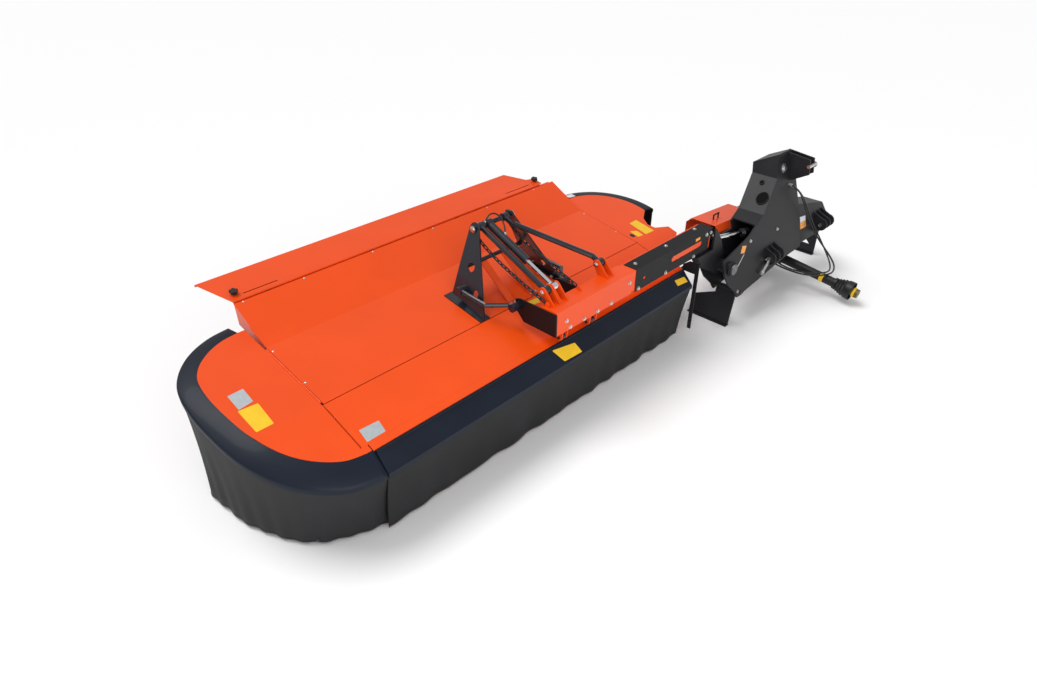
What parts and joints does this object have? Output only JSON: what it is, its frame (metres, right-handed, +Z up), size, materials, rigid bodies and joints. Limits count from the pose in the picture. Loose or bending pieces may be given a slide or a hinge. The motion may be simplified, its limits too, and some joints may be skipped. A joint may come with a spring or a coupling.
{
  "type": "disc mower conditioner",
  "caption": "Rear-mounted disc mower conditioner parked on its skids and stands, with folding arm, hood, guards, discs, tined rotor and headstock.",
  "frame": {"origin": "on the ground under the middle skid shoe of the cutter bar", "axes": "+X along the cutter bar towards the headstock, -Y is the direction of travel, +Z up"},
  "size_m": [6.081, 2.667, 1.3334],
  "materials": {
    "charcoal": "satin",
    "orange": "gloss",
    "dark": "satin",
    "navy": "satin",
    "black": "matte",
    "cloth": "matte",
    "steel": "satin",
    "bright": "polished"
  },
  "bodies": {
    "headstock": {"head_frame": "charcoal", "fold_pin": "steel", "lower_hitch_pin_near": "steel", "lower_hitch_pin_far": "steel", "top_link_pin": "steel", "drive_gearbox": "black", "drive_shaft_guard": "black", "drive_guard": "orange", "pto_guard": "black"},
    "stand_near": {"stand_near": "black"},
    "stand_far": {"stand_far": "black"},
    "pto": {"pto_shaft": "steel"},
    "lift_barrel": {"lift_barrel": "black"},
    "lift_rod": {"lift_rod": "bright"},
    "arm": {"arm_knuckle": "charcoal", "arm_beam": "orange", "arm_cover": "dark", "arm_end_plate_left": "dark", "arm_end_plate_right": "dark", "suspension_tower": "dark", "tower_tie_left": "orange", "tower_tie_right": "orange", "upper_link_left": "black", "upper_link_right": "black", "lower_link_left": "black", "lower_link_right": "black", "suspension_cylinder": "black", "suspension_rod": "bright", "mower_frame": "dark", "hood_main": "orange", "hood_front": "orange", "inner_end_plate": "orange", "inner_end_band": "navy", "inner_curtain": "cloth", "cutter_bar": "dark", "mower_gearbox": "black", "driveline_cone": "black"},
    "front_guard": {"front_band": "navy", "front_curtain": "cloth"},
    "outer_guard": {"outer_end_plate": "orange", "outer_end_band": "navy", "outer_curtain": "cloth"},
    "rear_flap": {"rear_flap": "orange", "flap_knob_left": "black", "flap_knob_right": "black"},
    "rotor": {"conditioner_rotor": "steel"},
    "board_left": {"swath_board_left": "dark"},
    "board_right": {"swath_board_right": "dark"},
    "disc_1": {"disc_1": "steel"},
    "disc_2": {"disc_2": "steel"},
    "disc_3": {"disc_3": "steel"},
    "disc_4": {"disc_4": "steel"},
    "disc_5": {"disc_5": "steel"},
    "disc_6": {"disc_6": "steel"},
    "disc_7": {"disc_7": "steel"},
    "disc_8": {"disc_8": "steel"}
  },
  "joints": [
    {"name": "fold", "type": "hinge", "parent": "headstock", "child": "arm", "pos_m": [2.068, -0.43, 0.566], "axis": [0, 1, 0], "range_deg": [0, 80]},
    {"name": "lift_barrel_swing", "type": "hinge", "parent": "headstock", "child": "lift_barrel", "pos_m": [3.12, -0.391, 0.574], "axis": [0, 1, 0], "range_deg": [-5, 5]},
    {"name": "lift_rod_slide", "type": "slide", "parent": "lift_barrel", "child": "lift_rod", "axis": [-0.9774, 0, 0.2116], "range_m": [-0.36, 0.01]},
    {"name": "front_guard_swing", "type": "hinge", "parent": "arm", "child": "front_guard", "pos_m": [0, -0.351, 0.642], "axis": [-1, 0, 0], "range_deg": [0, 80]},
    {"name": "outer_guard_fold", "type": "hinge", "parent": "arm", "child": "outer_guard", "pos_m": [-1.513, 0.083, 0.772], "axis": [0, 0.987, 0.1606], "range_deg": [0, 85]},
    {"name": "rear_flap_tilt", "type": "hinge", "parent": "arm", "child": "rear_flap", "pos_m": [0, 1.076, 1.06], "axis": [1, 0, 0], "range_deg": [-15, 15]},
    {"name": "board_left_swing", "type": "hinge", "parent": "arm", "child": "board_left", "pos_m": [-1.25, 0.82, 0.24], "axis": [0, 0, 1], "range_deg": [-20, 20]},
    {"name": "board_right_swing", "type": "hinge", "parent": "arm", "child": "board_right", "pos_m": [1.25, 0.82, 0.24], "axis": [0, 0, 1], "range_deg": [-20, 20]},
    {"name": "rotor_spin", "type": "hinge", "parent": "arm", "child": "rotor", "pos_m": [0, 0.44, 0.43], "axis": [1, 0, 0], "continuous": true},
    {"name": "disc_1_spin", "type": "hinge", "parent": "arm", "child": "disc_1", "pos_m": [-1.54, 0, 0.075], "axis": [0, 0, 1], "continuous": true},
    {"name": "disc_2_spin", "type": "hinge", "parent": "arm", "child": "disc_2", "pos_m": [-1.1, 0, 0.075], "axis": [0, 0, 1], "continuous": true},
    {"name": "disc_3_spin", "type": "hinge", "parent": "arm", "child": "disc_3", "pos_m": [-0.66, 0, 0.075], "axis": [0, 0, 1], "continuous": true},
    {"name": "disc_4_spin", "type": "hinge", "parent": "arm", "child": "disc_4", "pos_m": [-0.22, 0, 0.075], "axis": [0, 0, 1], "continuous": true},
    {"name": "disc_5_spin", "type": "hinge", "parent": "arm", "child": "disc_5", "pos_m": [0.22, 0, 0.075], "axis": [0, 0, 1], "continuous": true},
    {"name": "disc_6_spin", "type": "hinge", "parent": "arm", "child": "disc_6", "pos_m": [0.66, 0, 0.075], "axis": [0, 0, 1], "continuous": true},
    {"name": "disc_7_spin", "type": "hinge", "parent": "arm", "child": "disc_7", "pos_m": [1.1, 0, 0.075], "axis": [0, 0, 1], "continuous": true},
    {"name": "disc_8_spin", "type": "hinge", "parent": "arm", "child": "disc_8", "pos_m": [1.54, 0, 0.075], "axis": [0, 0, 1], "continuous": true},
    {"name": "pto_spin", "type": "hinge", "parent": "headstock", "child": "pto", "pos_m": [3.25, -0.335, 0.236], "axis": [0, -0.992, -0.1263], "continuous": true},
    {"name": "stand_near_fold", "type": "hinge", "parent": "headstock", "child": "stand_near", "pos_m": [2.154, -0.5, 0.335], "axis": [0, 1, 0], "range_deg": [0, 65]},
    {"name": "stand_far_fold", "type": "hinge", "parent": "headstock", "child": "stand_far", "pos_m": [3.985, -0.35, 0.4], "axis": [0, -1, 0], "range_deg": [0, 65]}
  ],
  "couplings": [
    {"joint": "lift_barrel_swing", "follows": "fold", "ratio": -0.01},
    {"joint": "lift_rod_slide", "follows": "fold", "m_per_rad": -0.25},
    {"joint": "disc_2_spin", "follows": "disc_1_spin", "ratio": -1},
    {"joint": "disc_3_spin", "follows": "disc_1_spin", "ratio": 1},
    {"joint": "disc_4_spin", "follows": "disc_1_spin", "ratio": -1},
    {"joint": "disc_5_spin", "follows": "disc_1_spin", "ratio": 1},
    {"joint": "disc_6_spin", "follows": "disc_1_spin", "ratio": -1},
    {"joint": "disc_7_spin", "follows": "disc_1_spin", "ratio": 1},
    {"joint": "disc_8_spin", "follows": "disc_1_spin", "ratio": -1}
  ]
}
